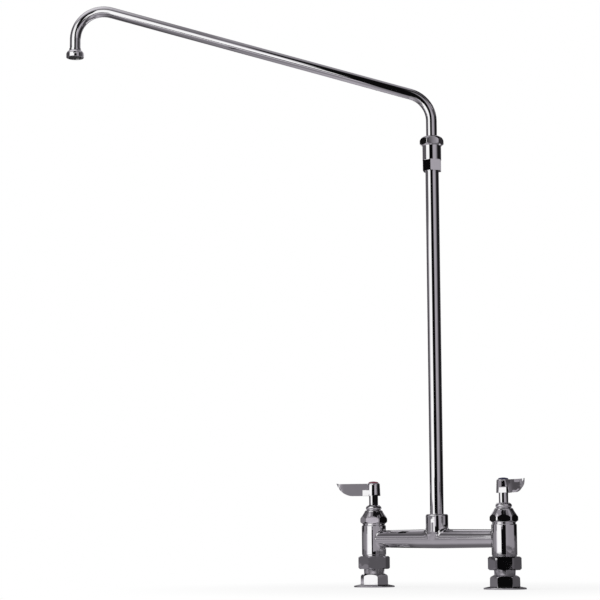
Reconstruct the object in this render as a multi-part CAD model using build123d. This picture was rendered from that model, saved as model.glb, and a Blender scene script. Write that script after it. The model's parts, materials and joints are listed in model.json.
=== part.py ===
from build123d import *

import os
from math import cos, pi, radians, sin, sqrt, tan

# A two-handle deck-mount mixing faucet. All sizes are in millimetres.
# The origin lies on the deck, midway between the two inlets. +X runs from the hot
# column to the cold one, -Y points at the user and +Z is up.
# A value whose name ends in "_z" is a height above the deck. A "_turn" is the direction,
# in degrees, that one flat of a hexagon faces.

# Overall sizes
inlet_centres = 203.2
riser_length = 457.2
nozzle_reach = 460.0
nozzle_swing = 220.7
arm_rise = 16.0
handle_sweep = 24.5
handle_travel = 90.0

# Clearances
thread_gap = 0.10
running_gap = 0.05
seat_gap = 0.15
loose_gap = 0.35
solder_gap = 0.02

# Inlet flange and its hexagonal hub
inlet_thread_r = 9.15
inlet_thread_depth = 15.2
waterway_r = 7.0
flange_rim = 7.7
flange_edge_height = 2.2
flange_round = 0.65
flange_height = 3.6
hub_wall = 6.85
hub_corner_cut = 0.175
hub_height = 16.4
hub_dome_height = 3.2
hub_dome_margin = 2.0
hub_dome_bulge = 0.55
hub_lean = 1.5
hub_turn = {"hot": -8.0, "cold": 5.0}
neck_height = 14.6
neck_root_height = 1.0

# Union between the inlet and the casting
union_shoulder_height = 4.1
union_shoulder_step = 2.0
union_washer_height = 2.0
union_washer_inset = 1.5
union_washer_margin = 0.5
nut_lip = 3.3
nut_height = 16.2
nut_wall = 2.85
nut_corner_cut = 0.7
nut_face_step = 1.9
nut_chamfer = 1.6
nut_turn = {"hot": 21.5, "cold": 5.0}

# Valve barrels
cavity_r = 12.0
barrel_wall = 3.5
barrel_height = 39.5
barrel_thread_step = 0.2
barrel_thread_relief = 0.3
barrel_neck_height = 1.5
barrel_neck_step = 0.65
barrel_collar_height = 1.6
barrel_collar_step = 1.35
seat_rise = 6.0

# Bridge and tee
bridge_rise = 20.3
bridge_end_r = 10.85
bridge_middle_r = 11.9
bridge_bore_r = 7.0
collar_wall = 5.375
collar_height = 30.5
collar_round = 2.0
collar_belly_height = 8.7
collar_foot_sink = 0.6
barrel_fillet = 3.0
collar_fillet = 6.0

# Riser pipe
riser_r = 8.575
riser_wall = 2.315
pipe_engagement = 10.3

# Cartridge
sleeve_wall = 1.25
sleeve_cap = 4.0
sleeve_foot_gap = 0.4
seal_height = 2.2
seal_width = 1.7
seal_inset = 0.2
disc_height = 3.0
disc_edge = 1.9
port_inner_r = 3.2
port_span = 80.0
groove_width = 4.2
groove_depth = 1.5
window_width = 9.0
window_height = 7.2
stop_band = 2.1
stop_span = 24.0
stop_slack = 3.0

# Spindle
spindle_r = 5.75
spindle_neck_step = 1.75
spindle_collar_height = 2.95
spindle_show = 12.0
tongue_inset = 0.85
tongue_rise = 1.8
o_ring_rise = 3.5
o_ring_height = 2.4
o_ring_depth = 1.7
drive_step = 1.75
drive_corner_step = 0.9
drive_web = 1.5

# Bonnet and packing
bonnet_flat_step = 0.05
bonnet_corner_cut = 0.5
bonnet_chamfer = 2.8
bonnet_chamfer_height = 2.4
bonnet_hex_height = 6.8
bonnet_cone_height = 6.5
bonnet_cone_wall = 5.3
bonnet_shoulder_height = 2.0
bonnet_shoulder_wall = 4.1
bonnet_crown_height = 2.35
bonnet_crown_wall = 1.8
bonnet_crown_bulge = 0.48
bonnet_skirt_length = 7.5
bonnet_washer_height = 1.0
bonnet_turn = {"hot": 1.0, "cold": 5.0}
spigot_wall = 2.0
spigot_rise = 2.3
packing_height = 1.2
packing_nut_height = 6.1
packing_nut_wall = 2.15
packing_nut_bulge = 1.05
packing_nut_cone_height = 1.3
packing_nut_mouth = 0.4

# Lever handle, with lengths measured from the spindle's axis
handle_hub_wall = 3.15
handle_draft = 0.6
handle_rim_step = 2.0
handle_rim_bulge = 0.5
handle_shoulder_height = 13.8
handle_height = 16.3
blade_length = 49.6
blade_half = 3.1
blade_draft = 6.0
blade_swell = 0.62
blade_top_drop = 0.7
blade_tip_slope = 4.96
blade_keel = 24.8
blade_scoop_back = 1.74
blade_scoop_height = 13.2
blade_scoop_bulge = 4.2
blade_point = 7.94
blade_point_taper = 0.5
blade_point_bulge = 1.0
fairing_reach = 13.5
fairing_height = 7.1
fairing_taper = 22.0
fairing_inset = 0.15
upper_fairing_reach = 6.6
upper_fairing_half = 5.0
upper_fairing_drop = 1.2

# Index button and handle screw
index_margin = 0.5
index_depth = 1.4
index_edge = 1.6
index_rise = 2.2
screw_head_r = 3.9
screw_head_height = 2.2
screw_r = 2.0
screw_reach = 11.0
screw_spare = 1.0
screw_slot = 1.0

# Swivel joint on top of the riser
swivel_hex_wall = 2.275
swivel_hex_web = 3.9
swivel_hex_turn = 28.9
socket_floor_height = 4.4
socket_depth = 14.0
socket_wall = 2.6
swivel_thread_step = 0.45
swivel_thread_height = 4.6
swivel_nut_height = 12.4
swivel_nut_wall = 1.75
swivel_nut_top = 2.9
swivel_nut_corner_cut = 0.15
swivel_nut_foot_step = 1.2
swivel_nut_foot_height = 2.6
swivel_nut_crown_step = 2.6
swivel_nut_crown_height = 5.3
swivel_nut_crown_bulge = 0.67
swivel_nut_turn = 12.7
thrust_washer_height = 0.6
ferrule_float = 1.4
ferrule_wall = 2.35
ferrule_flange_height = 2.8
retaining_washer_height = 1.4
ring_groove_rise = 2.6
ring_groove_pitch = 6.6
ring_groove_height = 2.4
ring_groove_depth = 1.5

# Swing nozzle and outlet
tube_r = 7.0
tube_wall = 1.2
bend_r = 36.5
nozzle_stem = 48.9
nozzle_drop = 73.2
outlet_flare = 4.4
outlet_wall = 2.1
outlet_height = 12.1
outlet_wall_height = 5.2
outlet_neck_wall = 0.68
outlet_neck_height = 2.5
outlet_bulge = 0.63
outlet_round = 0.6
snap_ring_inset = 0.5
snap_ring_width = 0.9
snap_ring_height = 0.8
grid_height = 3.9
grid_hole_r = 0.8
grid_pitch = 2.5
grid_margin = 0.7
outlet_washer_height = 1.9
tube_stop = 1.0

# Radii of a column, from the casting's cavity outwards and inwards
half_centres = inlet_centres / 2
barrel_r = cavity_r + barrel_wall
union_thread_r = barrel_r - barrel_thread_step
nut_bore_r = union_thread_r + thread_gap
nut_half = nut_bore_r + nut_wall
nut_corner_r = nut_half / cos(radians(30)) - nut_corner_cut
shoulder_r = nut_bore_r - 2 * seat_gap
neck_r = shoulder_r - union_shoulder_step
hub_half = inlet_thread_r + hub_wall
hub_corner_r = hub_half / cos(radians(30)) - hub_corner_cut
flange_r = hub_corner_r + flange_rim
sleeve_r = cavity_r - seat_gap
sleeve_bore_r = sleeve_r - sleeve_wall
fixed_disc_r = sleeve_bore_r - thread_gap
moving_disc_r = sleeve_bore_r - loose_gap
port_outer_r = moving_disc_r - disc_edge
stop_inner_r = sleeve_bore_r - stop_band + loose_gap
lug_r = sleeve_bore_r - loose_gap
seal_r = sleeve_bore_r - seal_inset
bonnet_half = barrel_r - bonnet_flat_step
bonnet_corner_r = bonnet_half / cos(radians(30)) - bonnet_corner_cut

# Radii round a spindle
spindle_neck_r = spindle_r - spindle_neck_step
spindle_collar_r = sleeve_bore_r - stop_band
drive_half = spindle_r - drive_step
drive_corner_r = spindle_r - drive_corner_step
spigot_r = spindle_r + running_gap + spigot_wall
packing_nut_r = spigot_r + thread_gap + packing_nut_wall
handle_foot_r = spindle_r + handle_hub_wall
handle_shoulder_r = handle_foot_r - handle_draft
handle_rim_r = handle_foot_r - handle_rim_step
blade_inner_half = blade_half / 3
flank_r = handle_foot_r - fairing_inset
fairing_end_half = (flank_r - fairing_reach * sin(radians(fairing_taper))) / cos(radians(fairing_taper))
index_r = handle_rim_r - index_margin

# Heights of a column, from the deck upwards
union_face_z = hub_height + neck_height
nut_low_z = union_face_z - union_shoulder_height - 2 * seat_gap - nut_lip
nut_high_z = nut_low_z + nut_height
barrel_foot_z = union_face_z + union_washer_height
barrel_low_z = nut_high_z + barrel_neck_height
barrel_high_z = barrel_low_z + barrel_height
bridge_z = barrel_low_z + bridge_rise
seat_z = barrel_low_z + seat_rise
fixed_disc_z = seat_z + seal_height
moving_disc_z = fixed_disc_z + disc_height
moving_disc_high_z = moving_disc_z + disc_height
tongue_z = moving_disc_high_z - groove_depth
tongue_high_z = moving_disc_high_z + tongue_rise
bonnet_skirt_z = barrel_high_z - bonnet_skirt_length
sleeve_high_z = bonnet_skirt_z - bonnet_washer_height
cap_z = sleeve_high_z - sleeve_cap
spindle_collar_high_z = cap_z - running_gap
spindle_collar_z = spindle_collar_high_z - spindle_collar_height
o_ring_z = barrel_high_z + o_ring_rise
bonnet_hex_z = barrel_high_z + bonnet_hex_height
bonnet_cone_z = bonnet_hex_z + bonnet_cone_height
bonnet_shoulder_z = bonnet_cone_z + bonnet_shoulder_height
bonnet_high_z = bonnet_shoulder_z + bonnet_crown_height
packing_nut_z = bonnet_high_z + seat_gap
packing_nut_high_z = packing_nut_z + packing_nut_height
spigot_high_z = packing_nut_z + spigot_rise
packing_high_z = spigot_high_z + packing_height

# Heights of a lever, its screw and its index button
handle_z = packing_nut_high_z + spindle_show
handle_shoulder_z = handle_z + handle_shoulder_height
handle_high_z = handle_z + handle_height
blade_top_z = handle_high_z - blade_top_drop
fairing_high_z = handle_z + fairing_height
index_z = handle_high_z - index_depth
screw_head_high_z = index_z - seat_gap
screw_head_z = screw_head_high_z - screw_head_height
drive_high_z = screw_head_z - drive_web

# Riser and swivel
riser_bore_r = riser_r - riser_wall
riser_socket_r = riser_r + running_gap
collar_r = riser_socket_r + collar_wall
collar_high_z = bridge_z + collar_height
collar_belly_z = bridge_z + collar_belly_height
riser_z = collar_high_z - pipe_engagement
riser_high_z = riser_z + riser_length
swivel_z = riser_high_z - pipe_engagement
swivel_hex_half = riser_socket_r + swivel_hex_wall
swivel_hex_high_z = riser_high_z + swivel_hex_web
socket_z = swivel_hex_high_z + socket_floor_height
ferrule_bore_r = tube_r + solder_gap
ferrule_r = ferrule_bore_r + ferrule_wall
socket_r = ferrule_r + running_gap
swivel_r = socket_r + socket_wall
swivel_thread_r = swivel_r - swivel_thread_step
swivel_nut_bore_r = swivel_thread_r + thread_gap
swivel_nut_half = swivel_nut_bore_r + swivel_nut_wall
swivel_nut_corner_r = swivel_nut_half / cos(radians(30)) - swivel_nut_corner_cut
swivel_nut_z = socket_z + socket_depth
swivel_nut_high_z = swivel_nut_z + swivel_nut_height
thrust_z = swivel_nut_z + swivel_thread_height
ferrule_z = socket_z + ferrule_float
ferrule_flange_r = swivel_nut_bore_r - loose_gap
ferrule_flange_z = thrust_z + thrust_washer_height + running_gap
retaining_z = ferrule_flange_z + ferrule_flange_height
ring_groove_places = (ferrule_z + ring_groove_rise, ferrule_z + ring_groove_rise + ring_groove_pitch)

# Nozzle and outlet
tube_bore_r = tube_r - tube_wall
nozzle_corner_z = swivel_nut_high_z + nozzle_stem
tip_corner_z = nozzle_corner_z + nozzle_reach * tan(radians(arm_rise))
outlet_r = tube_r + outlet_flare
outlet_bore_r = outlet_r - outlet_wall
outlet_neck_r = ferrule_bore_r + outlet_neck_wall
outlet_z = tip_corner_z - nozzle_drop
outlet_high_z = outlet_z + outlet_height
snap_ring_z = outlet_z + snap_ring_inset
grid_r = outlet_bore_r - seat_gap
grid_z = snap_ring_z + snap_ring_height
outlet_washer_z = grid_z + grid_height
chamber_high_z = outlet_washer_z + outlet_washer_height
tube_end_z = chamber_high_z + tube_stop

nodes = {}


def quarter_bulge(radius):
    # How far a quarter circle stands out from its chord
    return radius * (1 - cos(radians(45)))


def outline(start, *steps):
    # A flat face inside the given (across, up) points, which run anticlockwise.
    # A step is the next corner, or the end of an arc and how far the arc bulges outwards.
    edges = []
    here = start
    for step in steps + (start,):
        if isinstance(step[0], tuple):
            end, bulge = step
            run, rise = end[0] - here[0], end[1] - here[1]
            share = bulge / sqrt(run**2 + rise**2)
            middle = ((here[0] + end[0]) / 2 + share * rise, (here[1] + end[1]) / 2 - share * run)
            edges.append(ThreePointArc(here, middle, end))
        else:
            end = step
            edges.append(Line(here, end))
        here = end
    return make_face(edges)


def turned(start, *steps):
    # A solid turned about Z from an outline of (radius, height) points
    return revolve(Plane.XZ * outline(start, *steps), Axis.Z)


def rod(radius, low, high):
    return Pos(0, 0, low) * Cylinder(radius, high - low, align=(Align.CENTER, Align.CENTER, Align.MIN))


def ring(outer_r, inner_r, low, high):
    return rod(outer_r, low, high) - rod(inner_r, low, high)


def hexagon(half_flats, low, high, turn, lean=0.0):
    # A hexagonal prism, one of whose flats faces the direction "turn". The flats lean inwards
    # by "lean" degrees.
    shape = RegularPolygon(half_flats, 6, major_radius=False, rotation=turn - 30)
    return Pos(0, 0, low) * extrude(shape, high - low, taper=lean)


def sector(inner_r, outer_r, low, high, middle, span):
    # A piece of a ring that spans an angle about the direction "middle"
    section = Rectangle(outer_r - inner_r, high - low, align=(Align.MIN, Align.MIN))
    face = Plane.XZ * Pos(inner_r, low) * section
    return Rot(0, 0, middle - span / 2) * revolve(face, Axis.Z, revolution_arc=span)


def bar(length, width, low, high, direction=0.0):
    shape = Box(length, width, high - low, align=(Align.CENTER, Align.CENTER, Align.MIN))
    return Pos(0, 0, low) * Rot(0, 0, direction) * shape


# Inlet, union and bonnet of one column, modelled on the Z axis


def inlet_flange(side):
    flange = turned(
        (0, 0),
        (flange_r, 0),
        (flange_r, flange_edge_height - flange_round),
        ((flange_r - flange_round, flange_edge_height), quarter_bulge(flange_round)),
        (hub_corner_r, flange_height),
        (0, flange_height),
    )
    neck_root_z = hub_height + neck_root_height
    dome = turned(
        (0, flange_edge_height),
        (hub_corner_r, flange_edge_height),
        (hub_corner_r, hub_height - hub_dome_height),
        ((neck_r + hub_dome_margin, hub_height), hub_dome_bulge),
        (neck_r, neck_root_z),
        (0, neck_root_z),
    )
    hub = dome & hexagon(hub_half, flange_edge_height, neck_root_z, hub_turn[side], hub_lean)
    neck = rod(neck_r, hub_height, union_face_z)
    shoulder = rod(shoulder_r, union_face_z - union_shoulder_height, union_face_z)
    body = flange + hub + neck + shoulder
    return body - rod(inlet_thread_r, 0, inlet_thread_depth) - rod(waterway_r, 0, union_face_z)


def coupling_nut(side):
    face_r = nut_corner_r - nut_face_step
    clip = turned(
        (0, nut_low_z),
        (face_r, nut_low_z),
        (nut_corner_r, nut_low_z + nut_chamfer),
        (nut_corner_r, nut_high_z - nut_chamfer),
        (face_r, nut_high_z),
        (0, nut_high_z),
    )
    body = clip & hexagon(nut_half, nut_low_z, nut_high_z, nut_turn[side])
    body -= rod(neck_r + seat_gap, nut_low_z, nut_high_z)
    return body - rod(nut_bore_r, nut_low_z + nut_lip, nut_high_z)


def union_washer():
    outer_r = shoulder_r - union_washer_inset
    return ring(outer_r, waterway_r + union_washer_margin, union_face_z, barrel_foot_z)


def bonnet(side):
    clip = turned(
        (0, barrel_high_z),
        (bonnet_corner_r - bonnet_chamfer, barrel_high_z),
        (bonnet_corner_r, barrel_high_z + bonnet_chamfer_height),
        (bonnet_corner_r, bonnet_hex_z),
        (spigot_r + bonnet_cone_wall, bonnet_cone_z),
        (spigot_r + bonnet_shoulder_wall, bonnet_shoulder_z),
        ((spigot_r + bonnet_crown_wall, bonnet_high_z), bonnet_crown_bulge),
        (0, bonnet_high_z),
    )
    head = clip & hexagon(bonnet_half, barrel_high_z, bonnet_high_z, bonnet_turn[side])
    skirt = rod(cavity_r - thread_gap, bonnet_skirt_z, barrel_high_z)
    spigot = rod(spigot_r, barrel_high_z, spigot_high_z)
    return head + skirt + spigot - rod(spindle_r + running_gap, bonnet_skirt_z, spigot_high_z)


def bonnet_washer():
    return ring(sleeve_r - 2 * seat_gap, spindle_r + 2 * loose_gap, sleeve_high_z, bonnet_skirt_z)


def packing_ring():
    return ring(spigot_r - thread_gap, spindle_r + thread_gap, spigot_high_z, packing_high_z)


def packing_nut():
    edge_r = packing_nut_r - packing_nut_bulge
    body = turned(
        (0, packing_nut_z),
        (edge_r, packing_nut_z),
        ((edge_r, packing_nut_high_z - packing_nut_cone_height), packing_nut_bulge),
        (spigot_r - packing_nut_mouth, packing_nut_high_z),
        (0, packing_nut_high_z),
    )
    body -= rod(spindle_r + thread_gap, packing_nut_z, packing_nut_high_z)
    return body - rod(spigot_r + thread_gap, packing_nut_z, packing_high_z)


# Quarter-turn ceramic cartridge of one column. "lever_angle" is the lever's direction
# at rest, and "opening" is +1 where the valve opens anticlockwise, else -1.


def seat_seal():
    return ring(seal_r, seal_r - seal_width, seat_z, fixed_disc_z)


def cartridge_sleeve(lever_angle, opening):
    shell = rod(sleeve_r, seat_z + sleeve_foot_gap, sleeve_high_z)
    shell -= rod(sleeve_bore_r, seat_z, cap_z)
    shell -= rod(spindle_r + loose_gap, cap_z, sleeve_high_z)
    window_z = bridge_z - window_height / 2
    shell -= bar(2 * cavity_r, window_width, window_z, window_z + window_height)
    # The spindle's lug runs in the gap that this stop leaves
    gap = handle_travel + stop_span + 2 * stop_slack
    middle = lever_angle + opening * handle_travel / 2 + 180
    stop_r = sleeve_bore_r + sleeve_wall / 2
    return shell + sector(stop_inner_r, stop_r, spindle_collar_z, cap_z, middle, 360 - gap)


def ported_disc(radius, low, middle):
    disc = rod(radius, low, low + disc_height)
    for angle in (middle, middle + 180):
        disc -= sector(port_inner_r, port_outer_r, low, low + disc_height, angle, port_span)
    return disc


def fixed_disc(lever_angle):
    return ported_disc(fixed_disc_r, fixed_disc_z, lever_angle)


def moving_disc(lever_angle):
    # Its ports stand a quarter turn from the fixed disc's, so the valve is shut at rest
    disc = ported_disc(moving_disc_r, moving_disc_z, lever_angle + 90)
    return disc - bar(2 * sleeve_r, groove_width, tongue_z, moving_disc_high_z, lever_angle)


def square_drive(gap, low, high, direction):
    # A square with turned corners, which keys the lever to its spindle
    width = 2 * (drive_half + gap)
    return bar(width, width, low, high, direction) & rod(drive_corner_r + gap, low, high)


def spindle(lever_angle):
    tongue_length = 2 * (port_outer_r - tongue_inset)
    tongue_width = groove_width - 2 * running_gap
    body = bar(tongue_length, tongue_width, tongue_z, tongue_high_z, lever_angle)
    body += rod(spindle_neck_r, moving_disc_high_z + seat_gap, spindle_collar_z)
    body += rod(spindle_collar_r, spindle_collar_z, spindle_collar_high_z)
    body += sector(spindle_neck_r, lug_r, spindle_collar_z, spindle_collar_high_z, lever_angle, stop_span)
    body += rod(spindle_r, spindle_collar_high_z, handle_z)
    body += square_drive(0, handle_z, drive_high_z, lever_angle)
    hole_z = drive_high_z - screw_reach - screw_spare
    return body - spindle_o_ring() - rod(screw_r + thread_gap, hole_z, drive_high_z)


def spindle_o_ring():
    return ring(spindle_r, spindle_r - o_ring_depth, o_ring_z, o_ring_z + o_ring_height)


# Lever handle, modelled along +X and turned to its own direction


def fairing(start, end, low, high):
    # The cast flank between the hub and the blade, from its start to its end, with a
    # slanted nose that runs out inside the blade
    nose = (end[0] + end[1] - blade_inner_half, blade_inner_half)
    points = (start, end, nose)
    plan = outline(*((along, -across) for along, across in points), *reversed(points))
    return Pos(0, 0, low) * extrude(plan, high - low)


def blade_plan(half, height):
    # The blade's pointed plan at one height
    point_start = blade_length - blade_point
    point_half = half - blade_point_taper
    plan = outline(
        (0, -half),
        ((point_start, -point_half), blade_swell),
        ((blade_length, 0), blade_point_bulge),
        ((point_start, point_half), blade_point_bulge),
        ((0, half), blade_swell),
    )
    return Pos(0, 0, height) * plan


def blade():
    # A fin with a scooped underside, thinner below than above
    scoop_end = (blade_length - blade_scoop_back, handle_z + blade_scoop_height)
    side = outline(
        (0, handle_z),
        (blade_keel, handle_z),
        (scoop_end, blade_scoop_bulge),
        (blade_length, handle_high_z),
        (blade_length - blade_tip_slope, blade_top_z),
        (0, blade_top_z),
    )
    foot_half = blade_half - handle_height * tan(radians(blade_draft))
    wedge = loft([blade_plan(foot_half, handle_z), blade_plan(blade_half, handle_high_z)], ruled=True)
    return wedge & extrude(Plane.XZ * side, 2 * blade_half, both=True)


def lever(lever_angle):
    hub = turned(
        (0, handle_z),
        (handle_foot_r, handle_z),
        (handle_shoulder_r, handle_shoulder_z),
        ((handle_rim_r, handle_high_z), handle_rim_bulge),
        (0, handle_high_z),
    )
    body = hub + blade()
    flank_start = (flank_r * sin(radians(fairing_taper)), flank_r * cos(radians(fairing_taper)))
    flank_end = (fairing_reach, fairing_end_half)
    body += fairing(flank_start, flank_end, handle_z, fairing_high_z)
    upper_start = (0, upper_fairing_half)
    upper_end = (upper_fairing_reach, upper_fairing_half)
    body += fairing(upper_start, upper_end, fairing_high_z, blade_top_z - upper_fairing_drop)
    body -= square_drive(running_gap, handle_z, drive_high_z, 0)
    body -= rod(screw_r + 2 * seat_gap, handle_z, screw_head_z)
    body -= rod(screw_head_r + seat_gap, screw_head_z, handle_high_z)
    body -= rod(index_r + running_gap, index_z, handle_high_z)
    return Rot(0, 0, lever_angle) * body


def handle_screw(lever_angle):
    head = rod(screw_head_r, screw_head_z, screw_head_high_z)
    head -= bar(2 * screw_head_r, screw_slot, screw_head_high_z - screw_slot, screw_head_high_z, lever_angle)
    return head + rod(screw_r, drive_high_z - screw_reach, screw_head_z)


def index_button():
    # A disc with a rounded edge and a shallow dome
    edge_r = index_r - index_edge
    dome_height = index_rise - index_edge
    dome_r = (edge_r**2 + dome_height**2) / (2 * dome_height)
    top_z = handle_high_z + index_rise
    body = turned(
        (0, index_z),
        (index_r, index_z),
        (index_r, handle_high_z),
        ((edge_r, handle_high_z + index_edge), quarter_bulge(index_edge)),
        (edge_r, top_z),
        (0, top_z),
    )
    return body & Pos(0, 0, top_z - dome_r) * Sphere(dome_r)


# Casting, riser and swivel


def barrel():
    shoulder_z = barrel_high_z - barrel_collar_height
    neck_step_r = barrel_r - barrel_neck_step
    collar_step_r = barrel_r - barrel_collar_step
    return turned(
        (0, barrel_foot_z),
        (union_thread_r, barrel_foot_z),
        (union_thread_r, nut_high_z),
        (neck_step_r, nut_high_z + barrel_thread_relief),
        (neck_step_r, barrel_low_z),
        ((barrel_r, barrel_low_z + barrel_neck_step), quarter_bulge(barrel_neck_step)),
        (barrel_r, shoulder_z - barrel_collar_step),
        ((collar_step_r, shoulder_z), quarter_bulge(barrel_collar_step)),
        (collar_step_r, barrel_high_z),
        (0, barrel_high_z),
    )


def tee():
    # A round collar for the riser, whose foot is half an ellipsoid that sinks into the bridge
    belly_depth = collar_belly_height + bridge_middle_r - collar_foot_sink
    foot = Pos(0, 0, collar_belly_z) * scale(Sphere(collar_r), (1, 1, belly_depth / collar_r))
    collar = turned(
        (0, collar_belly_z),
        (collar_r, collar_belly_z),
        (collar_r, collar_high_z - collar_round),
        ((collar_r - collar_round, collar_high_z), quarter_bulge(collar_round)),
        (0, collar_high_z),
    )
    return collar + (foot & rod(2 * collar_r, collar_belly_z - 2 * belly_depth, collar_belly_z))


def crossing_edges(body, middle, reach):
    # The curved seams where two round forms meet, within "reach" of X = "middle" or -"middle"
    curves = body.edges().filter_by(lambda edge: edge.geom_type not in (GeomType.LINE, GeomType.CIRCLE))
    return curves.filter_by(lambda edge: abs(abs(edge.center().X) - middle) < reach)


def blended(edges, radius):
    # The widest of a few blends, up to "radius", that the form leaves room for
    for share in (1.0, 0.9, 0.75, 0.6, 0.5, 0.4):
        try:
            return fillet(edges, share * radius)
        except ValueError:
            print(f"no room for a blend of {share * radius:.2f}")
    return edges[0].topo_parent


def valve_body():
    arm = Cone(bridge_middle_r, bridge_end_r, half_centres, align=(Align.CENTER, Align.CENTER, Align.MIN))
    body = tee()
    for side in (-1, 1):
        body += Pos(0, 0, bridge_z) * Rot(0, side * 90, 0) * arm
        body += Pos(side * half_centres, 0, 0) * barrel()
    body = blended(crossing_edges(body, 0, collar_r), collar_fillet)
    body = blended(crossing_edges(body, half_centres, barrel_r + barrel_fillet), barrel_fillet)
    body -= Pos(0, 0, bridge_z) * Rot(0, 90, 0) * Cylinder(bridge_bore_r, inlet_centres)
    body -= rod(riser_bore_r, bridge_z, collar_high_z)
    body -= rod(riser_socket_r, riser_z, collar_high_z)
    for side in (-1, 1):
        place = Pos(side * half_centres, 0, 0)
        body -= place * rod(waterway_r, barrel_foot_z, seat_z)
        body -= place * rod(cavity_r, seat_z, barrel_high_z)
    return body


def swivel_body():
    body = hexagon(swivel_hex_half, swivel_z, swivel_hex_high_z, swivel_hex_turn)
    body += rod(swivel_r, swivel_hex_high_z, swivel_nut_z)
    body += rod(swivel_thread_r, swivel_nut_z, thrust_z)
    body -= rod(riser_socket_r, swivel_z, riser_high_z)
    return body - rod(riser_bore_r, swivel_z, thrust_z) - rod(socket_r, socket_z, thrust_z)


def swivel_nut():
    clip = turned(
        (0, swivel_nut_z),
        (swivel_nut_half - swivel_nut_foot_step, swivel_nut_z),
        (swivel_nut_corner_r, swivel_nut_z + swivel_nut_foot_height),
        (swivel_nut_corner_r, swivel_nut_high_z - swivel_nut_crown_height),
        ((swivel_nut_half - swivel_nut_crown_step, swivel_nut_high_z), swivel_nut_crown_bulge),
        (0, swivel_nut_high_z),
    )
    body = clip & hexagon(swivel_nut_half, swivel_nut_z, swivel_nut_high_z, swivel_nut_turn)
    body -= rod(swivel_nut_bore_r, swivel_nut_z, swivel_nut_high_z - swivel_nut_top)
    return body - rod(tube_r + loose_gap, swivel_nut_z, swivel_nut_high_z)


def thrust_washer():
    return ring(swivel_thread_r, socket_r + thread_gap, thrust_z, thrust_z + thrust_washer_height)


# Swing nozzle, modelled along +X and turned about the riser to its swing at rest


def nozzle_tube():
    path = FilletPolyline(
        (0, 0, ferrule_z),
        (0, 0, nozzle_corner_z),
        (nozzle_reach, 0, tip_corner_z),
        (nozzle_reach, 0, tube_end_z),
        radius=bend_r,
    )
    start = Plane(origin=path @ 0, z_dir=path % 0)
    tube = sweep(start * (Circle(tube_r) - Circle(tube_bore_r)), path=path)
    expected = pi * (tube_r**2 - tube_bore_r**2) * path.length
    print(f"nozzle_tube volume over section times length: {tube.volume / expected:.5f}")
    return tube


def nozzle_ferrule():
    body = rod(ferrule_r, ferrule_z, ferrule_flange_z)
    for low in ring_groove_places:
        body -= o_ring(low)
    body += rod(ferrule_flange_r, ferrule_flange_z, retaining_z)
    return body - rod(ferrule_bore_r, ferrule_z, retaining_z)


def o_ring(low):
    return ring(ferrule_r, ferrule_r - ring_groove_depth, low, low + ring_groove_height)


def retaining_washer():
    return ring(ferrule_flange_r, ferrule_bore_r, retaining_z, retaining_z + retaining_washer_height)


def outlet_housing():
    body = turned(
        (0, outlet_z),
        (outlet_r - outlet_round, outlet_z),
        ((outlet_r, outlet_z + outlet_round), quarter_bulge(outlet_round)),
        (outlet_r, outlet_z + outlet_wall_height),
        ((outlet_neck_r, outlet_high_z - outlet_neck_height), outlet_bulge),
        (outlet_neck_r, outlet_high_z),
        (0, outlet_high_z),
    )
    body -= rod(outlet_bore_r, outlet_z, chamber_high_z)
    body -= rod(ferrule_bore_r, tube_end_z, outlet_high_z)
    return body - rod(tube_bore_r, chamber_high_z, tube_end_z)


def snap_ring():
    outer_r = outlet_bore_r - running_gap
    return ring(outer_r, outlet_bore_r - snap_ring_width, snap_ring_z, grid_z)


def stream_grid():
    disc = rod(grid_r, grid_z, outlet_washer_z) - rod(grid_hole_r, grid_z, outlet_washer_z)
    ring_count = int((grid_r - grid_hole_r - grid_margin) / grid_pitch)
    for number in range(1, ring_count + 1):
        places = PolarLocations(number * grid_pitch, 6 * number)
        disc -= places * rod(grid_hole_r, grid_z, outlet_washer_z)
    return disc


def outlet_washer():
    return ring(grid_r, tube_bore_r, outlet_washer_z, chamber_high_z)


# The two columns

for side, along, lever_angle, opening in (
    ("hot", -half_centres, 180 + handle_sweep, 1),
    ("cold", half_centres, -handle_sweep, -1),
):
    column = {
        "inlet_flange": inlet_flange(side),
        "coupling_nut": coupling_nut(side),
        "union_washer": union_washer(),
        "seat_seal": seat_seal(),
        "cartridge_sleeve": cartridge_sleeve(lever_angle, opening),
        "fixed_disc": fixed_disc(lever_angle),
        "moving_disc": moving_disc(lever_angle),
        "spindle": spindle(lever_angle),
        "spindle_o_ring": spindle_o_ring(),
        "bonnet": bonnet(side),
        "bonnet_washer": bonnet_washer(),
        "packing_ring": packing_ring(),
        "packing_nut": packing_nut(),
        "lever": lever(lever_angle),
        "handle_screw": handle_screw(lever_angle),
        "index_button": index_button(),
    }
    for name, shape in column.items():
        nodes[f"{side}_{name}"] = Pos(along, 0, 0) * shape

# The middle of the faucet

nodes["valve_body"] = valve_body()
nodes["riser_pipe"] = ring(riser_r, riser_bore_r, riser_z, riser_high_z)
nodes["swivel_body"] = swivel_body()
nodes["swivel_nut"] = swivel_nut()
nodes["thrust_washer"] = thrust_washer()
nodes["retaining_washer"] = retaining_washer()
nodes["nozzle_ferrule"] = nozzle_ferrule()
nodes["nozzle_o_rings"] = Compound(children=[o_ring(low) for low in ring_groove_places])
nodes["nozzle_tube"] = Rot(0, 0, nozzle_swing) * nozzle_tube()

outlet_place = Pos(nozzle_reach * cos(radians(nozzle_swing)), nozzle_reach * sin(radians(nozzle_swing)), 0)
outlet_pieces = {
    "outlet_housing": outlet_housing(),
    "outlet_washer": outlet_washer(),
    "stream_grid": stream_grid(),
    "snap_ring": snap_ring(),
}
for name, shape in outlet_pieces.items():
    nodes[name] = outlet_place * shape

os.makedirs("parts", exist_ok=True)
for name, shape in nodes.items():
    export_step(shape, f"parts/{name}.step")
print(f"{len(nodes)} nodes written")
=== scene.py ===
import json
import math

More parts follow.
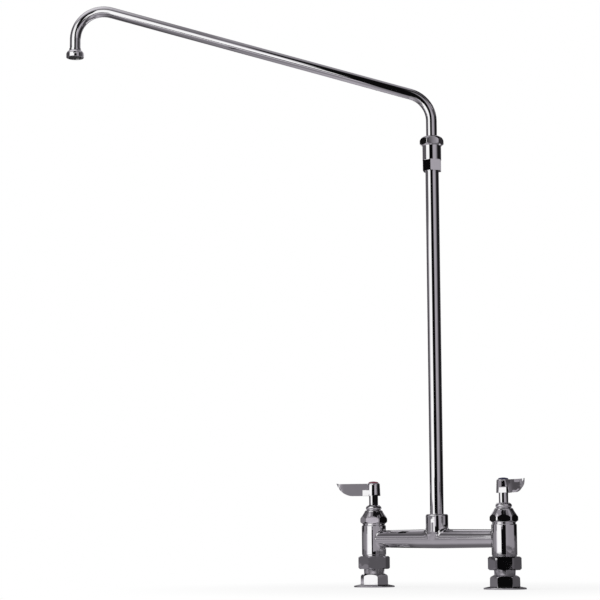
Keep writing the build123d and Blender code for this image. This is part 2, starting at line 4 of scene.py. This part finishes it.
import bpy
from mathutils import Matrix, Vector

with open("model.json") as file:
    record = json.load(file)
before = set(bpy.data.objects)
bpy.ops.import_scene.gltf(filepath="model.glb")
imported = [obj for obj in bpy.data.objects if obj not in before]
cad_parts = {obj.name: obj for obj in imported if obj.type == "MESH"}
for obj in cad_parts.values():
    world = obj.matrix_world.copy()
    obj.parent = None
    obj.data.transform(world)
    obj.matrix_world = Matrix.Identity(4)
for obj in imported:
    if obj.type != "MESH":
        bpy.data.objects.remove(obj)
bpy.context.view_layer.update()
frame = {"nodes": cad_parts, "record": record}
nodes = frame["nodes"]
print("frame loaded:", len(nodes), "nodes")


# Camera, at the photograph's viewing angle
cameraView = {
    "position": (1.3908, -1.8438, 0.0608),
    "heading": 41.25,     # degrees from +Y towards -X, the way the camera looks
    "tilt": 7.47,         # degrees upwards
    "roll": -0.26,        # degrees
    "lens": 109.7,        # millimetres
    "sensor": 36.0,       # millimetres
    "clip": (0.02, 40.0),
}


def makeCamera(view):
    heading, tilt, roll = (math.radians(view[key]) for key in ("heading", "tilt", "roll"))
    flat = math.cos(tilt)
    forward = Vector((-math.sin(heading) * flat, math.cos(heading) * flat, math.sin(tilt)))
    level = Vector((math.cos(heading), math.sin(heading), 0.0))
    above = level.cross(forward)
    right = math.cos(roll) * level + math.sin(roll) * above
    up = math.cos(roll) * above - math.sin(roll) * level
    data = bpy.data.cameras.new("photoCamera")
    data.sensor_width = view["sensor"]
    data.lens = view["lens"]
    data.clip_start, data.clip_end = view["clip"]
    camera = bpy.data.objects.new("photoCamera", data)
    bpy.context.scene.collection.objects.link(camera)
    turn = Matrix((right, up, -forward)).transposed().to_4x4()
    camera.matrix_world = Matrix.Translation(view["position"]) @ turn
    bpy.context.scene.camera = camera


makeCamera(cameraView)
print("camera placed")


# One socket of one node tree, so that shader sums are written as ordinary sums
class Wire:
    def __init__(self, tree, socket=None):
        self.tree = tree
        self.socket = socket

    def feed(self, socket, value):
        if isinstance(value, Wire):
            self.tree.links.new(value.socket, socket)
        else:
            socket.default_value = value

    # Any node: its type, its settings, then the values or links of its sockets
    def add(self, kind, settings=(), sockets=(), output=0):
        node = self.tree.nodes.new("ShaderNode" + kind)
        for name, value in dict(settings).items():
            if name == "stops":
                ramp = node.color_ramp.elements
                while len(ramp) < len(value):
                    ramp.new(0.5)     # anywhere, as its place is set below
                for element, (place, shade) in zip(ramp, value):
                    element.position = place
                    element.color = shade
            else:
                setattr(node, name, value)
        for key, value in dict(sockets).items():
            self.feed(node.inputs[key], value)
        return None if output is None else Wire(self.tree, node.outputs[output])

    def sum(self, operation, *values):
        return self.add("Math", {"operation": operation}, dict(enumerate(values)))

    def __add__(self, other):
        return self.sum("ADD", self, other)

    def __radd__(self, other):
        return self.sum("ADD", other, self)

    def __sub__(self, other):
        return self.sum("SUBTRACT", self, other)

    def __rsub__(self, other):
        return self.sum("SUBTRACT", other, self)

    def __mul__(self, other):
        return self.sum("MULTIPLY", self, other)

    def __rmul__(self, other):
        return self.sum("MULTIPLY", other, self)

    def __pow__(self, other):
        return self.sum("POWER", self, other)

    def clipped(self):
        return self.sum("MINIMUM", self.sum("MAXIMUM", self, 0.0), 1.0)

    # 0 below low, 1 above high, smooth between
    def step(self, low, high):
        settings = {"interpolation_type": "SMOOTHSTEP"}
        return self.add("MapRange", settings, {"Value": self, "From Min": low, "From Max": high})

    # 1 between low and high, with soft borders
    def window(self, low, high, soft):
        above = self.step(low - soft / 2, low + soft / 2)
        return above * (1.0 - self.step(high - soft / 2, high + soft / 2))

    # The three coordinates of a place
    def parts(self):
        first = self.add("SeparateXYZ", (), {0: self})
        return [Wire(self.tree, socket) for socket in first.socket.node.outputs]

    # The first colour where this is 0, the second where it is 1. A Mix node has its colours at
    # sockets 6 and 7, and gives the mixed colour at output 2.
    def blend(self, first, second):
        return self.add("Mix", {"data_type": "RGBA"}, {0: self, 6: first, 7: second}, 2)

    def finish(self, surface):
        self.add("OutputMaterial", (), {"Surface": surface}, None)


def newMaterial(name):
    material = bpy.data.materials.new(name)
    material.use_nodes = True
    material.node_tree.nodes.clear()
    return material, Wire(material.node_tree)


def objectPlace(wire):
    return wire.add("TexCoord", (), (), "Object")


# 1 where the camera sees the surface, straight or in a mirror or through glass
def seenDirectly(wire):
    kinds = ("Is Camera Ray", "Is Glossy Ray", "Is Transmission Ray")
    straight, mirrored, through = (wire.add("LightPath", (), (), kind) for kind in kinds)
    return (straight + mirrored + through).clipped()


# World, floor, lamps and the room's size, with lengths in metres
studio = {
    "softLevel": 0.62,                    # light from all round, on the object
    "white": (1.0, 1.0, 1.0, 1.0),
    "floorColour": (0.93, 0.93, 0.93, 1.0),
    "floorRadius": 1.6,
    "floorWhite": 0.78,                   # how far the floor near the object is lifted to white
    "floorFade": (0.14, 0.45),            # the radii between which the rest of the lift comes
    "roomRadius": 1.2,
    "roomHeight": 1.3,
    "wallFacets": 192,
    "discCorners": 96,
    "cameraBearing": -53.0,               # degrees, from the object to the camera
    "tint": (1.0, 0.945, 1.035),          # a trace of lavender in the room
    "tintEnd": 1.1,                       # the level from which a card is plain white
    "tintFade": 0.5,                      # how far below that level the tint is whole
    "topLevel": 1.3,                      # the brightest level that a card of the room can have
    "lampSize": 1.4,
    "lampAim": (0.0, 0.0, 0.3),
    "lamps": {"keyLamp": ((-0.9, -1.5, 1.9), 13.0), "fillLamp": ((1.6, 0.9, 1.6), 5.0)},
}
bearing = math.radians(studio["cameraBearing"])
toCamera = Vector((math.cos(bearing), math.sin(bearing), 0.0))
toRight = Vector((-math.sin(bearing), math.cos(bearing), 0.0))


# Names the primitive just added, and moves its place, turn and size into its mesh
def settle(name):
    bpy.ops.object.transform_apply(location=True, rotation=True, scale=True)
    settled = bpy.context.object
    settled.name = name
    return settled


def makeDisc(name, radius, place, corners):
    bpy.ops.object.select_all(action="DESELECT")
    bpy.ops.mesh.primitive_circle_add(vertices=corners, radius=radius, fill_type="NGON", location=place)
    return settle(name)


def makeWorld():
    world = bpy.data.worlds.new("studioWorld")
    bpy.context.scene.world = world
    world.use_nodes = True
    world.node_tree.nodes.clear()
    wire = Wire(world.node_tree)
    level = studio["softLevel"]
    strength = level + (1.0 - level) * seenDirectly(wire)
    backdrop = wire.add("Background", (), {"Color": studio["white"], "Strength": strength})
    wire.add("OutputWorld", (), {"Surface": backdrop}, None)


def makeFloor():
    floor = makeDisc("paleFloor", studio["floorRadius"], (0.0, 0.0, 0.0), studio["discCorners"])
    material, wire = newMaterial("paleFloor")
    x, y = objectPlace(wire).parts()[:2]
    away = (x * x + y * y) ** 0.5
    near = studio["floorWhite"]
    share = seenDirectly(wire) * (near + (1.0 - near) * away.step(*studio["floorFade"]))
    diffuse = wire.add("BsdfDiffuse", (), {"Color": studio["floorColour"]})
    lifted = wire.add("Emission", (), {"Color": studio["white"], "Strength": 1.0})
    wire.finish(wire.add("MixShader", (), {0: share, 1: diffuse, 2: lifted}))
    floor.data.materials.append(material)


def makeLamp(name, place, power):
    data = bpy.data.lights.new(name, "AREA")
    data.shape = "SQUARE"
    data.size = studio["lampSize"]
    data.energy = power
    lamp = bpy.data.objects.new(name, data)
    bpy.context.scene.collection.objects.link(lamp)
    lamp.location = place
    lamp.rotation_mode = "QUATERNION"
    lamp.rotation_quaternion = (Vector(studio["lampAim"]) - Vector(place)).to_track_quat("-Z", "Y")
    lamp.visible_glossy = False


# The room that only the metal mirrors: a round wall, a ceiling and a ground, with brightness
# lists of (place, level). A place on the wall is a bearing from the camera, in degrees, with
# + to the right. On the ceiling and the ground it is the distance to the right, in metres.
# A patch has its own level between two such places and between two heights (wall) or two
# distances towards the camera (ceiling, ground). Then come the widths of its two pairs of
# soft borders, and last its level.


# The tint fades out towards white
def tinted(level):
    share = min(max((studio["tintEnd"] - level) / studio["tintFade"], 0.0), 1.0)
    bright = level / studio["topLevel"]
    return (*(bright * (1.0 + share * (part - 1.0)) for part in studio["tint"]), 1.0)


def levelRamp(wire, place, levels, low, high):
    stops = [((at - low) / (high - low), tinted(level)) for at, level in levels]
    return wire.add("ValToRGB", {"stops": stops}, {0: (place - low) * (1.0 / (high - low))})


# Adds patches to a shade, placed by two coordinates
def patched(shade, first, second, patches):
    for firstSpan, secondSpan, soft, level in patches.values():
        inside = first.window(*firstSpan, soft[0]) * second.window(*secondSpan, soft[1])
        shade = inside.blend(shade, tinted(level))
    return shade


def lit(wire, shade):
    return wire.add("Emission", (), {"Color": shade, "Strength": studio["topLevel"]})


# Distances to the right and towards the camera, and the height
def roomPlace(wire):
    x, y, z = objectPlace(wire).parts()
    return x * toRight.x + y * toRight.y, x * toCamera.x + y * toCamera.y, z


def mirrorOnly(card, material):
    card.data.materials.append(material)
    card.visible_camera = False
    card.visible_diffuse = False
    card.visible_shadow = False
    card.visible_transmission = False
    card.visible_volume_scatter = False


wall = {
    "ground": [
        (-180, .06), (-160, .05), (-146, .06), (-132, .13), (-120, .19), (-104, .27), (-88, .30),
        (-80, .30), (-74, .45), (-69, .75), (-64, 1.10), (-56, 1.20), (6, 1.20), (7, .40), (20, .38),
        (40, .34), (88, .32), (99, .14), (108, .10), (130, .09), (150, .07), (180, .06)],
    "middle": [
        (-180, .05), (-172, .07), (-167, .80), (-158, .90), (-151, .10), (-130, .08), (-109, .09),
        (-98, .16), (-88, .34), (-82, .50), (-77, .95), (-68, 1.20), (6, 1.20), (7, .44), (24, .46),
        (44, .46), (58, .30), (68, .12), (76, .012), (116, .010), (128, .03), (150, .06), (156, .30),
        (164, .38), (171, .05), (180, .05)],
    "high": [
        (-180, .95), (-166, .90), (-154, .40), (-110, .30), (-88, .40), (-74, 1.10), (-16, 1.10),
        (-8, .60), (2, .10), (10, .30), (40, .40), (60, .08), (100, .06), (125, .14), (150, .28),
        (164, .45), (172, .95), (180, .95)],
    "middleStart": (0.10, 0.15),      # heights between which the wall changes over
    "highStart": (0.98, 1.08),
    "patches": {
        "flagFoot": ((-24.5, 16.0), (-0.1, 0.115), (3.0, 0.010), 0.004),
        "flagLow": ((-38.0, 15.5), (0.105, 0.178), (4.0, 0.010), 0.004),
        "flagRise": ((-32.5, 16.5), (0.165, 0.30), (4.0, 0.020), 0.004),
        "bonnetLight": ((-26, -11), (0.082, 0.108), (5.0, 0.008), 0.60),
        "rearLeft": ((-128, -106), (0.074, 0.21), (6.0, 0.012), 0.016),
        "rearRight": ((92, 140), (0.062, 0.22), (8.0, 0.016), 0.004),
        "bonnetSide": ((-150, -129), (0.084, 0.108), (5.0, 0.008), 0.23),
        "upperLeft": ((-128, -72), (0.66, 1.6), (7.0, 0.10), 0.12),
        "flangeFlag": ((-8, 8), (0.42, 0.85), (4.0, 0.06), 0.02),
        "leverLight": ((-83, -58), (0.135, 0.21), (5.0, 0.012), 1.15),
        "leverShade": ((-130, -106), (0.024, 0.046), (8.0, 0.006), 0.075),
        "nutShade": ((-114, -80), (0.014, 0.040), (6.0, 0.006), 0.17),
        "bladeShade": ((-118, -106), (-0.1, 0.030), (6.0, 0.006), 0.09),
        "bridgeShade": ((-81, -67), (0.075, 0.128), (3.0, 0.010), 0.22),
        "lowRight": ((18, 104), (-0.1, 0.042), (8.0, 0.006), 0.14),
        "lowFront": ((-75, -20), (-0.1, 0.030), (6.0, 0.008), 0.14),
    },
}


def makeWall():
    radius, height = studio["roomRadius"], studio["roomHeight"]
    bpy.ops.object.select_all(action="DESELECT")
    bpy.ops.mesh.primitive_cylinder_add(vertices=studio["wallFacets"], radius=radius, depth=height,
                                        end_fill_type="NOTHING", location=(0.0, 0.0, height / 2))
    card = settle("studioWall")
    material, wire = newMaterial(card.name)
    side, depth, z = roomPlace(wire)
    turn = wire.sum("ARCTAN2", side, depth) * (180.0 / math.pi)
    zones = ("ground", "middle", "high")
    low, middle, high = (levelRamp(wire, turn, wall[zone], -180.0, 180.0) for zone in zones)
    shade = z.step(*wall["highStart"]).blend(z.step(*wall["middleStart"]).blend(low, middle), high)
    wire.finish(lit(wire, patched(shade, turn, z, wall["patches"])))
    mirrorOnly(card, material)


ceiling = {
    "height": studio["roomHeight"],
    "levels": [
        (-1.2, .20), (-0.70, .24), (-0.48, .34), (0.10, .32), (0.30, .20), (0.42, .15), (0.62, .09),
        (1.2, .06)],
    "patches": {
        "front": ((-1.3, 1.3), (0.22, 1.3), (0.20, 0.20), 0.22),
        "frontMiddle": ((-0.05, 0.60), (0.20, 0.70), (0.24, 0.10), 0.015),
        "frontLeft": ((-0.62, -0.20), (0.45, 1.3), (0.22, 0.10), 0.16),
        "rearRight": ((0.20, 1.3), (-0.80, 0.02), (0.10, 0.12), 0.01),
        "right": ((0.80, 1.3), (-0.02, 0.45), (0.10, 0.14), 0.35),
        "rear": ((-0.90, 0.90), (-1.3, -0.88), (0.30, 0.12), 0.60),
    },
}
# The bridge's patches are painted shade: the mirrored ground is made darker under and behind the bridge,
# and darkest under the hot side, where the object's shade falls. They lie between two places along the
# bridge and two across it instead
ground = {
    "height": 0.0004,
    "levels": [
        (-1.2, .40), (-0.90, .20), (-0.82, .06), (-0.68, .16), (-0.54, .28), (-0.40, .40), (-0.34, .50),
        (-0.22, .34), (-0.12, .40), (0.02, .46), (0.20, .24), (0.42, .09), (1.2, .06)],
    "patches": {
        "front": ((-0.90, -0.10), (0.30, 1.3), (0.10, 0.10), 0.26),
        "right": ((0.35, 1.10), (-0.15, 0.12), (0.10, 0.06), 0.09),
        "left": ((-1.00, -0.30), (0.10, 0.28), (0.10, 0.05), 0.25),
        "frontFar": ((-0.85, -0.10), (0.68, 1.3), (0.10, 0.12), 0.62),
        "rear": ((-0.10, 0.60), (-1.3, -0.36), (0.15, 0.15), 0.75),
    },
    "paintedShadePatches": {
        "paintedShadeUnderBridge": ((-0.30, 0.16), (-0.030, 0.30), (0.02, 0.050), 0.15),
        "paintedShadeUnderHot": ((-0.30, -0.082), (-0.030, 0.30), (0.03, 0.030), 0.012),
    },
}


def makeFlatCard(name, values):
    radius = studio["roomRadius"]
    card = makeDisc(name, radius, (0.0, 0.0, values["height"]), studio["discCorners"])
    material, wire = newMaterial(name)
    side, depth = roomPlace(wire)[:2]
    shade = levelRamp(wire, side, values["levels"], -radius, radius)
    shade = patched(shade, side, depth, values["patches"])
    # Painted shade on the ground under the bridge, placed by the object's own coordinates
    if "paintedShadePatches" in values:
        x, y = objectPlace(wire).parts()[:2]
        shade = patched(shade, x, y, values["paintedShadePatches"])
    wire.finish(lit(wire, shade))
    mirrorOnly(card, material)


# An upright card across a bearing from the camera
def makeUpright(name, place, turn, width, heights):
    bpy.ops.object.select_all(action="DESELECT")
    bpy.ops.mesh.primitive_plane_add(size=1.0)
    angle = math.radians(turn)
    outwards = math.cos(angle) * toCamera + math.sin(angle) * toRight
    across = Vector((-outwards.y, outwards.x, 0.0))
    side, depth = place
    middle = toRight * side + toCamera * depth
    low, high = heights
    bpy.context.object.matrix_world = Matrix((
        (across.x * width, 0.0, outwards.x, middle.x),
        (across.y * width, 0.0, outwards.y, middle.y),
        (0.0, high - low, 0.0, (high + low) / 2),
        (0.0, 0.0, 0.0, 1.0)))
    return settle(name)


# The black flag in front of the swivel, riser and arm: the distances to the right of its
# borders at a number of heights, and the softness of its borders
flag = {
    "depth": 0.21, "foot": 0.19, "head": 0.97, "span": 0.5, "level": 0.004, "soft": 0.012,
    "left": [(0.19, -0.120), (0.66, -0.124), (0.76, -0.150), (0.82, -0.195), (0.97, -0.190)],
    "right": [
        (0.19, 0.062), (0.40, 0.058), (0.52, 0.047), (0.63, 0.0385), (0.75, 0.027), (0.84, 0.035),
        (0.97, 0.055)],
}


# A border of the flag at each height. The ramp holds it as a share of the flag's span
def borderAt(wire, z, places):
    foot, head, span = flag["foot"], flag["head"], flag["span"]
    stops = []
    for height, place in places:
        share = place / span + 0.5
        stops.append(((height - foot) / (head - foot), (share, share, share, 1.0)))
    ramp = wire.add("ValToRGB", {"stops": stops}, {0: (z - foot) * (1.0 / (head - foot))})
    return (ramp - 0.5) * span


def makeFlag():
    heights = (flag["foot"], flag["head"])
    card = makeUpright("blackFlag", (0.0, flag["depth"]), 0.0, flag["span"], heights)
    material, wire = newMaterial(card.name)
    side, depth, z = roomPlace(wire)
    soft = flag["soft"]
    borders = (borderAt(wire, z, flag[edge]) for edge in ("left", "right"))
    left, right = ((side - border).step(-soft, soft) for border in borders)
    clear = wire.add("BsdfTransparent")
    black = lit(wire, tinted(flag["level"]))
    wire.finish(wire.add("MixShader", (), {0: left * (1.0 - right), 1: clear, 2: black}))
    mirrorOnly(card, material)


# Small upright cards: place (to the right, towards the camera), the bearing that they stand
# across, width, heights and level
smallCards = {
    "hexFlag": ((-0.2916, 0.0705), -76.4, 0.05, (0.587, 0.6055), 0.004),
    "nutFlag": ((-0.2838, -0.0972), -108.9, 0.05, (0.6265, 0.6435), 0.008),
    "spindleFlag": ((-0.067, -0.047), 45.0, 0.030, (0.1030, 0.1190), 0.008),
    "outletFlag": ((-0.4466, 0.078), 12.0, 0.027, (0.645, 0.695), 0.006),
    "tubeFlag": ((-0.454, 0.078), 12.0, 0.028, (0.695, 0.745), 0.012),
    "bendFlag": ((-0.4548, 0.078), 12.0, 0.0405, (0.740, 0.767), 0.004),
    "outletShade": ((-0.497, 0.038), -90.0, 0.032, (0.655, 0.706), 0.07),
    "barrelCard": ((-0.0665, 0.057), 10.0, 0.067, (0.045, 0.082), 0.34),
    "hubCard": ((0.0516, 0.0797), -58.0, 0.036, (0.1235, 0.1430), 0.34),
}


def makeSmallCard(name, place, turn, width, heights, level):
    card = makeUpright(name, place, turn, width, heights)
    material, wire = newMaterial(name)
    wire.finish(lit(wire, tinted(level)))
    mirrorOnly(card, material)


# Two level shelves in front of the bridge, each a pair of cards a thickness apart. A part lies
# between two places along the bridge and two across it. A card's two levels are those left and
# right of the turnover, a stretch along the bridge.
shelf = {
    "parts": {"near": ((-0.185, 0.04), (-0.135, -0.058)), "far": ((-0.285, -0.04), (-0.30, -0.135))},
    "height": 0.090, "thickness": 0.001, "turnover": (-0.145, -0.130),
    "levels": {"Underside": (0.25, 0.25), "Top": (0.45, 0.25)},
}


def makeShelf(name, along, across, height, levels):
    middle = (sum(along) / 2, sum(across) / 2, height)
    bpy.ops.object.select_all(action="DESELECT")
    bpy.ops.mesh.primitive_plane_add(size=1.0, location=middle)
    bpy.context.object.scale = (along[1] - along[0], across[1] - across[0], 1.0)
    card = settle(name)
    material, wire = newMaterial(name)
    x = objectPlace(wire).parts()[0]
    left, right = levels
    wire.finish(lit(wire, x.step(*shelf["turnover"]).blend(tinted(left), tinted(right))))
    mirrorOnly(card, material)


# The round soft light overhead on the left: its level in the core, and at the edge
softbox = {
    "side": -0.58, "depth": 0.04, "height": 1.05, "radius": 0.36, "corners": 64, "core": 0.08,
    "level": 0.80, "edge": 0.22,
}


def makeSoftbox():
    middle = toRight * softbox["side"] + toCamera * softbox["depth"]
    place = (middle.x, middle.y, softbox["height"])
    card = makeDisc("softbox", softbox["radius"], place, softbox["corners"])
    material, wire = newMaterial(card.name)
    side, depth = roomPlace(wire)[:2]
    side, depth = side - softbox["side"], depth - softbox["depth"]
    away = (side * side + depth * depth) ** 0.5
    outside = away.step(softbox["core"], softbox["radius"])
    wire.finish(lit(wire, outside.blend(tinted(softbox["level"]), tinted(softbox["edge"]))))
    mirrorOnly(card, material)


makeWorld()
makeFloor()
makeWall()
makeFlatCard("studioCeiling", ceiling)
makeFlatCard("studioGround", ground)
makeFlag()
for cardName, values in smallCards.items():
    makeSmallCard(cardName, *values)
for partName, (along, across) in shelf["parts"].items():
    for storey, (face, levels) in enumerate(shelf["levels"].items()):
        height = shelf["height"] + storey * shelf["thickness"]
        makeShelf(partName + "Shelf" + face, along, across, height, levels)
makeSoftbox()
for lampName, (place, power) in studio["lamps"].items():
    makeLamp(lampName, place, power)
bpy.context.scene.view_settings.view_transform = "Standard"
print("studio set up")


def bumped(wire, height, strength, distance, below=None):
    sockets = {"Height": height, "Strength": strength, "Distance": distance}
    if below is not None:
        sockets["Normal"] = below
    return wire.add("Bump", (), sockets)


def noise(wire, place, scale, detail, roughness):
    sockets = {"Vector": place, "Scale": scale, "Detail": detail, "Roughness": roughness}
    return wire.add("TexNoise", (), sockets)


# Noise with its own scale along each axis
def stretched(wire, place, scale, detail, roughness):
    swept = wire.add("Mapping", (), {"Vector": place, "Scale": scale})
    return noise(wire, swept, 1.0, detail, roughness)


# Polished chrome: fine haze, wiped smudges and hairline scratches over every piece, with
# turning lines, a cast ripple or a drawn tube's long waves where the piece was made that way.
# Noise has a scale, a detail and a roughness. A span is where on the noise a mark comes in.
chrome = {
    "tone": (0.80, 0.795, 0.805),
    "nutTone": (0.66, 0.655, 0.67),
    "deep": 0.955,                 # the tone between the smudges, as a share of the whole tone
    "brass": (0.70, 0.52, 0.27, 1.0),
    "roughness": 0.016,
    "smudgeNoise": (70.0, 3.0, 0.55), "smudgeSpan": (0.46, 0.70), "smudgeRoughness": 0.020,
    "toneSpan": (0.30, 0.72),      # where on the smudges' noise the tone goes from deep to whole
    "hazeNoise": (420.0, 4.0, 0.6), "hazeSpan": (0.52, 0.75), "hazeRoughness": 0.014,
    "hazeHeight": 0.25,
    "scratchScale": 260.0, "scratchWidth": 0.012, "scratchRoughness": 0.020,
    "turningNoise": ((900.0, 900.0, 5200.0), 2.0, 0.5),
    "fineStrength": 0.35, "fineDepth": 0.000012,
    "castNoise": (95.0, 1.5, 0.45), "castDepth": 0.00016,
    "drawnNoise": (26.0, 1.0, 0.4), "drawnDepth": 0.0003,
}


def polishedChrome(name, cast=0.0, turned=0.0, drawn=0.0, tone=chrome["tone"], brassInside=None):
    material, wire = newMaterial(name)
    place = objectPlace(wire)
    smudge = noise(wire, place, *chrome["smudgeNoise"])
    haze = noise(wire, place, *chrome["hazeNoise"])
    sockets = {"Vector": place, "Scale": chrome["scratchScale"]}
    cells = wire.add("TexVoronoi", {"feature": "DISTANCE_TO_EDGE"}, sockets)
    hairline = 1.0 - cells.step(0.0, chrome["scratchWidth"])
    roughness = (chrome["roughness"]
                 + smudge.step(*chrome["smudgeSpan"]) * chrome["smudgeRoughness"]
                 + haze.step(*chrome["hazeSpan"]) * chrome["hazeRoughness"]
                 + hairline * chrome["scratchRoughness"])
    deep = (*(chrome["deep"] * part for part in tone), 1.0)
    base = smudge.step(*chrome["toneSpan"]).blend(deep, (*tone, 1.0))
    if brassInside:
        base = brassInside(wire, place).blend(base, chrome["brass"])
    lines = stretched(wire, place, *chrome["turningNoise"])
    height = haze * chrome["hazeHeight"] + lines * turned
    bump = bumped(wire, height, chrome["fineStrength"], chrome["fineDepth"])
    if cast:
        bump = bumped(wire, noise(wire, place, *chrome["castNoise"]), cast, chrome["castDepth"], bump)
    if drawn:
        bump = bumped(wire, noise(wire, place, *chrome["drawnNoise"]), drawn, chrome["drawnDepth"], bump)
    sockets = {"Base Color": base, "Roughness": roughness, "Metallic": 1.0, "Normal": bump}
    wire.finish(wire.add("BsdfPrincipled", (), sockets))
    return material


# Cut metals: a cloudy tone from dark to light, and fine lines left by the tool. The roughness
# is what the metal has everywhere, and what the lines add to it.
cutMetals = {
    "turnedBrass": {
        "dark": (0.62, 0.44, 0.20, 1.0), "light": (0.76, 0.59, 0.32, 1.0), "cloud": (160.0, 4.0, 0.6),
        "lines": ((500.0, 500.0, 7000.0), 3.0, 0.6), "lineDepth": 0.00003, "roughness": (0.24, 0.16)},
    "stainlessSteel": {
        "dark": (0.56, 0.56, 0.555, 1.0), "light": (0.66, 0.66, 0.655, 1.0), "cloud": (300.0, 4.0, 0.6),
        "lines": ((2500.0, 300.0, 2500.0), 3.0, 0.6), "lineDepth": 0.00002, "roughness": (0.20, 0.18)},
}
cutMetalShared = {"cloudSpan": (0.33, 0.70), "lineStrength": 0.45}


def cutMetal(name):
    values = cutMetals[name]
    material, wire = newMaterial(name)
    place = objectPlace(wire)
    cloud = noise(wire, place, *values["cloud"])
    lines = stretched(wire, place, *values["lines"])
    base = cloud.step(*cutMetalShared["cloudSpan"]).blend(values["dark"], values["light"])
    least, more = values["roughness"]
    bump = bumped(wire, lines, cutMetalShared["lineStrength"], values["lineDepth"])
    sockets = {"Base Color": base, "Roughness": least + lines * more, "Metallic": 1.0, "Normal": bump}
    wire.finish(wire.add("BsdfPrincipled", (), sockets))
    return material


# Rubber, ceramic, plastic and enamel: two tones of one colour and a fine grain
moulded = {
    "blackRubber": {
        "dark": (0.018, 0.018, 0.019, 1.0), "light": (0.040, 0.040, 0.042, 1.0), "roughness": 0.55,
        "grainScale": 1800.0, "grainDepth": 0.00003, "coat": 0.0},
    "valveCeramic": {
        "dark": (0.83, 0.81, 0.75, 1.0), "light": (0.89, 0.88, 0.83, 1.0), "roughness": 0.18,
        "grainScale": 2600.0, "grainDepth": 0.000004, "coat": 0.0},
    "whitePlastic": {
        "dark": (0.80, 0.80, 0.78, 1.0), "light": (0.87, 0.87, 0.85, 1.0), "roughness": 0.38,
        "grainScale": 1500.0, "grainDepth": 0.00001, "coat": 0.0},
    "blackPlastic": {
        "dark": (0.030, 0.030, 0.032, 1.0), "light": (0.055, 0.055, 0.058, 1.0), "roughness": 0.36,
        "grainScale": 1500.0, "grainDepth": 0.00001, "coat": 0.0},
    "redEnamel": {
        "dark": (0.17, 0.008, 0.030, 1.0), "light": (0.25, 0.012, 0.042, 1.0), "roughness": 0.16,
        "grainScale": 500.0, "grainDepth": 0.000008, "coat": 0.5},
    "blueEnamel": {
        "dark": (0.006, 0.008, 0.040, 1.0), "light": (0.010, 0.014, 0.075, 1.0), "roughness": 0.16,
        "grainScale": 500.0, "grainDepth": 0.000008, "coat": 0.5},
}
mouldedShared = {
    "grainDetail": 3.0, "grainBreak": 0.6, "grainStrength": 0.5, "grainRoughness": 0.12,
    "cloud": (220.0, 3.0, 0.55), "cloudSpan": (0.32, 0.70), "coatRoughness": 0.05,
}


def mouldedFinish(name):
    values, shared = moulded[name], mouldedShared
    material, wire = newMaterial(name)
    place = objectPlace(wire)
    grain = noise(wire, place, values["grainScale"], shared["grainDetail"], shared["grainBreak"])
    cloud = noise(wire, place, *shared["cloud"])
    base = cloud.step(*shared["cloudSpan"]).blend(values["dark"], values["light"])
    bump = bumped(wire, grain, shared["grainStrength"], values["grainDepth"])
    roughness = values["roughness"] + grain * shared["grainRoughness"]
    sockets = {"Base Color": base, "Roughness": roughness, "Normal": bump,
               "Coat Weight": values["coat"], "Coat Roughness": shared["coatRoughness"]}
    wire.finish(wire.add("BsdfPrincipled", (), sockets))
    return material


# The inlets' threaded bores keep their brass, which the chrome does not reach
inletMounts = [mount for mount in frame["record"]["mounts"] if mount["kind"] == "threaded_hole"]
inletBore = {
    "centres": [mount["pos_m"][0] for mount in inletMounts],
    "radius": 0.0105, "top": 0.032, "edge": 0.0001,
}


def insideInlets(wire, place):
    x, y, z = place.parts()
    edge, radius, top = inletBore["edge"], inletBore["radius"], inletBore["top"]
    inside = 0.0
    for centre in inletBore["centres"]:
        away = ((x - centre) * (x - centre) + y * y) ** 0.5
        inside = (1.0 - away.step(radius - edge, radius + edge)) + inside
    return (inside * (1.0 - z.step(top, top + edge))).clipped()


castChrome = polishedChrome("castChrome", cast=0.35)
turnedChrome = polishedChrome("turnedChrome", cast=0.15, turned=0.5)
nutChrome = polishedChrome("nutChrome", cast=0.4, turned=0.1, tone=chrome["nutTone"])
swivelChrome = polishedChrome("swivelChrome", cast=0.3, turned=0.2)
tubeChrome = polishedChrome("tubeChrome", drawn=0.25)
flangeChrome = polishedChrome("flangeChrome", cast=0.2, turned=0.5, brassInside=insideInlets)
brass, steel = (cutMetal(name) for name in cutMetals)
mouldedFinishes = [mouldedFinish(name) for name in moulded]
rubber, ceramic, whitePlastic, blackPlastic, redEnamel, blueEnamel = mouldedFinishes

finishes = {
    castChrome: ("valve_body", "hot_lever", "cold_lever"),
    turnedChrome: ("hot_bonnet", "cold_bonnet", "hot_packing_nut", "cold_packing_nut", "hot_spindle",
                   "cold_spindle", "outlet_housing"),
    nutChrome: ("hot_coupling_nut", "cold_coupling_nut"),
    swivelChrome: ("swivel_body", "swivel_nut"),
    flangeChrome: ("hot_inlet_flange", "cold_inlet_flange"),
    tubeChrome: ("riser_pipe", "nozzle_tube"),
    brass: ("nozzle_ferrule", "hot_cartridge_sleeve", "cold_cartridge_sleeve"),
    steel: ("hot_handle_screw", "cold_handle_screw", "snap_ring"),
    rubber: ("outlet_washer", "nozzle_o_rings", "hot_seat_seal", "cold_seat_seal", "hot_spindle_o_ring",
             "cold_spindle_o_ring", "hot_union_washer", "cold_union_washer"),
    ceramic: ("hot_fixed_disc", "cold_fixed_disc", "hot_moving_disc", "cold_moving_disc"),
    whitePlastic: ("hot_bonnet_washer", "cold_bonnet_washer", "hot_packing_ring", "cold_packing_ring",
                   "retaining_washer", "thrust_washer"),
    blackPlastic: ("stream_grid",),
    redEnamel: ("hot_index_button",),
    blueEnamel: ("cold_index_button",),
}
finished = 0
for finish, nodeNames in finishes.items():
    for nodeName in nodeNames:
        for slot in nodes[nodeName].material_slots:
            slot.material = finish
        finished += 1
print("finishes given to", finished, "nodes")
